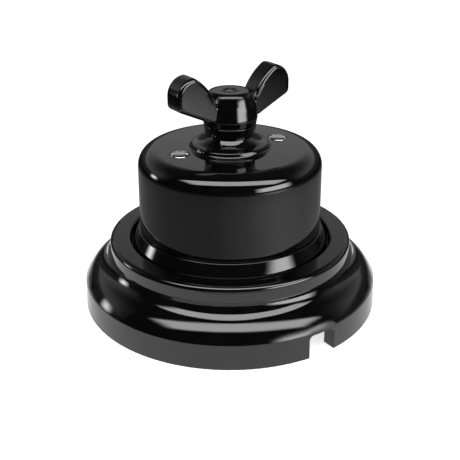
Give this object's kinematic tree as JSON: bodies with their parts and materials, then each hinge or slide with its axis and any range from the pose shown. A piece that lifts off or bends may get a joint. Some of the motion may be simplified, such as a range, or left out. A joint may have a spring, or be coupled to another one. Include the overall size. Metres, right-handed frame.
{
  "type": "porcelain two-way switch",
  "caption": "Surface-mounted rotary two-way light switch: black glazed porcelain surround, base and drum cover, with a butterfly knob that turns a rotor between side contacts.",
  "frame": {"origin": "centre of the surround's round back face, in the plane that meets the wall", "axes": "+Z out of the wall along the knob's axis; X along the knob's wings at rest; -Y towards the cable notch"},
  "size_m": [0.1, 0.0997, 0.0787],
  "materials": {
    "glazed_porcelain": "glossy black glaze",
    "glazed_base": "glossy black glaze",
    "glazed_cover": "glossy black glaze",
    "glazed_knob": "glossy black glaze",
    "chrome_screws": "bright chrome",
    "brass": "turned brass",
    "contact_bronze": "rolled bronze strip",
    "zinc_steel": "zinc-plated steel",
    "spring_steel": "blued spring steel",
    "moulding": "brown thermoset moulding",
    "fibre": "red vulcanised fibre"
  },
  "bodies": {
    "housing": {"mounting_frame": "glazed_porcelain", "switch_base": "glazed_base", "cover": "glazed_cover", "cover_screws": "chrome_screws", "spindle_washer": "zinc_steel", "detent_spring": "spring_steel", "spring_rivets": "brass", "bearing_bridge": "zinc_steel", "bridge_bush": "brass", "lower_posts": "brass", "upper_posts": "brass", "post_nuts": "brass", "terminal_common": "brass", "terminal_one": "brass", "terminal_two": "brass", "contact_common": "contact_bronze", "contact_one": "contact_bronze", "contact_two": "contact_bronze", "terminal_screws": "zinc_steel", "block_screws": "zinc_steel"},
    "turning_group": {"knob": "glazed_knob", "knob_screw": "chrome_screws", "spindle": "brass", "spindle_clip": "spring_steel", "thrust_washer": "fibre", "rotor": "moulding", "rotor_contact": "contact_bronze", "detent_star": "zinc_steel"}
  },
  "joints": [
    {"name": "knob_turn", "type": "hinge", "parent": "housing", "child": "turning_group", "pos_m": [0, 0, 0.0616], "axis": [0, 0, 1], "continuous": true}
  ]
}
